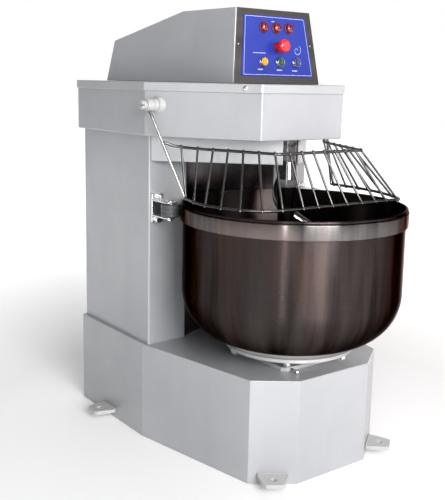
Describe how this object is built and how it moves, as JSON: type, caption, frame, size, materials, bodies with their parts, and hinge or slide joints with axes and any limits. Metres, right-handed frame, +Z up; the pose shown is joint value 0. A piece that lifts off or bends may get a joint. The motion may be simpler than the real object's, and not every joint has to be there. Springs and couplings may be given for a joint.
{
  "type": "spiral dough mixer",
  "caption": "Floor-standing dough mixer: folded-sheet base, column and head, turning bowl on a bearing, spiral hook, breaker bar, swing-up wire guard and sloped control panel",
  "frame": {"origin": "middle of the base footprint, on the floor", "axes": "+Z up, -Y towards the operator and the bowl, +X to the operator's right"},
  "size_m": [0.8412, 1.1086, 1.3997],
  "materials": {
    "cabinet_paint": "semi-gloss light grey enamel on folded sheet steel",
    "shroud_sheet": "semi-gloss light grey enamel",
    "liner_steel": "polished stainless sheet",
    "estop_ring_red": "dark red moulded ring",
    "spiral_steel": "polished stainless steel with fine turning lines",
    "machined_steel": "turned steel, lightly oiled",
    "bearing_casting": "machined grey casting",
    "motor_paint": "satin machine enamel",
    "belt_rubber": "matte black",
    "bolt_zinc": "bright zinc plate",
    "bowl_steel": "mirror-polished stainless steel with faint circular lines",
    "roller_rubber": "satin dark grey",
    "guard_wire": "dark polished wire with welded joints",
    "guard_rod_chrome": "bright polished rod",
    "bezel_steel": "brushed stainless plate",
    "overlay_blue": "satin printed film",
    "collar_chrome": "bright plated ring",
    "lamp_red": "dark red moulded lens",
    "cap_yellow": "moulded cap",
    "cap_green": "moulded cap",
    "cap_blue": "moulded cap",
    "cap_red": "glossy moulded mushroom"
  },
  "bodies": {
    "frame": {"base_cabinet": "cabinet_paint", "column_cabinet": "cabinet_paint", "column_rear_panel": "cabinet_paint", "head_box": "cabinet_paint", "head_lid": "cabinet_paint", "control_hood": "cabinet_paint", "floor_lug_front_left": "cabinet_paint", "floor_lug_front_right": "cabinet_paint", "floor_lug_rear_left": "cabinet_paint", "floor_lug_rear_right": "cabinet_paint", "guard_boss_left": "cabinet_paint", "guard_boss_right": "cabinet_paint", "under_head_housing": "shroud_sheet", "recess_liner": "liner_steel", "breaker_bar": "spiral_steel", "spiral_bearing_housing": "machined_steel", "bowl_bearing_housing": "bearing_casting", "spiral_motor": "motor_paint", "bowl_motor": "motor_paint", "spiral_belt": "belt_rubber", "bowl_belt": "belt_rubber", "bearing_grease_pin": "bolt_zinc", "guard_pivot_pin_left": "bolt_zinc", "guard_pivot_pin_right": "bolt_zinc", "roller_bracket_left": "bolt_zinc", "roller_bracket_right": "bolt_zinc", "panel_bezel": "bezel_steel", "panel_overlay": "overlay_blue", "button_collar_yellow": "collar_chrome", "button_collar_green": "collar_chrome", "button_collar_blue": "collar_chrome", "estop_collar": "estop_ring_red", "indicator_lamp_left": "lamp_red", "indicator_lamp_middle": "lamp_red", "indicator_lamp_right": "lamp_red"},
    "bowl": {"bowl_shell": "bowl_steel", "bowl_rim_band": "bowl_steel", "turntable": "machined_steel", "bowl_pulley": "machined_steel", "bowl_bolt_1": "bolt_zinc", "bowl_bolt_2": "bolt_zinc", "bowl_bolt_3": "bolt_zinc", "bowl_bolt_4": "bolt_zinc", "bowl_bolt_5": "bolt_zinc", "bowl_bolt_6": "bolt_zinc"},
    "spiral": {"spiral_hook": "spiral_steel", "spiral_pulley": "machined_steel"},
    "spiral_motor_shaft": {"spiral_motor_pulley": "machined_steel"},
    "bowl_motor_shaft": {"bowl_motor_pulley": "machined_steel"},
    "roller_left": {"guide_roller_left": "roller_rubber"},
    "roller_right": {"guide_roller_right": "roller_rubber"},
    "guard": {"guard_grille_left": "guard_wire", "guard_grille_right": "guard_wire", "guard_grille_front": "guard_wire", "guard_rod_left": "guard_rod_chrome", "guard_rod_right": "guard_rod_chrome"},
    "button_yellow": {"button_yellow": "cap_yellow"},
    "button_green": {"button_green": "cap_green"},
    "button_blue": {"button_blue": "cap_blue"},
    "estop_button": {"estop_button": "cap_red"}
  },
  "joints": [
    {"name": "bowl_spin", "type": "hinge", "parent": "frame", "child": "bowl", "pos_m": [0, -0.20075, 0.6], "axis": [0, 0, 1], "continuous": true},
    {"name": "spiral_spin", "type": "hinge", "parent": "frame", "child": "spiral", "pos_m": [0.118, -0.04575, 0.7], "axis": [0, 0, 1], "continuous": true},
    {"name": "spiral_motor_pulley_spin", "type": "hinge", "parent": "frame", "child": "spiral_motor_shaft", "pos_m": [0.07, 0.39925, 1.073], "axis": [0, 0, 1], "continuous": true},
    {"name": "bowl_motor_pulley_spin", "type": "hinge", "parent": "frame", "child": "bowl_motor_shaft", "pos_m": [0, 0.26925, 0.251], "axis": [0, 0, 1], "continuous": true},
    {"name": "roller_left_spin", "type": "hinge", "parent": "frame", "child": "roller_left", "pos_m": [-0.3065, 0.03125, 0.78], "axis": [0, 0, 1], "continuous": true},
    {"name": "roller_right_spin", "type": "hinge", "parent": "frame", "child": "roller_right", "pos_m": [0.3065, 0.03125, 0.78], "axis": [0, 0, 1], "continuous": true},
    {"name": "guard_swing", "type": "hinge", "parent": "frame", "child": "guard", "pos_m": [0, 0.06225, 1.104], "axis": [-1, 0, 0], "range_deg": [0, 62]},
    {"name": "button_yellow_press", "type": "slide", "parent": "frame", "child": "button_yellow", "axis": [0, 0.9925, -0.1221], "range_m": [0, 0.003], "stiffness_N_per_m": 600},
    {"name": "button_green_press", "type": "slide", "parent": "frame", "child": "button_green", "axis": [0, 0.9925, -0.1221], "range_m": [0, 0.003], "stiffness_N_per_m": 600},
    {"name": "button_blue_press", "type": "slide", "parent": "frame", "child": "button_blue", "axis": [0, 0.9925, -0.1221], "range_m": [0, 0.003], "stiffness_N_per_m": 600},
    {"name": "estop_press", "type": "slide", "parent": "frame", "child": "estop_button", "axis": [0, 0.9925, -0.1221], "range_m": [0, 0.004], "stiffness_N_per_m": 900}
  ],
  "couplings": [
    {"joint": "spiral_motor_pulley_spin", "follows": "spiral_spin", "ratio": 2.5},
    {"joint": "bowl_motor_pulley_spin", "follows": "bowl_spin", "ratio": 3.5714},
    {"joint": "roller_left_spin", "follows": "bowl_spin", "ratio": -11.59},
    {"joint": "roller_right_spin", "follows": "bowl_spin", "ratio": -11.59}
  ]
}
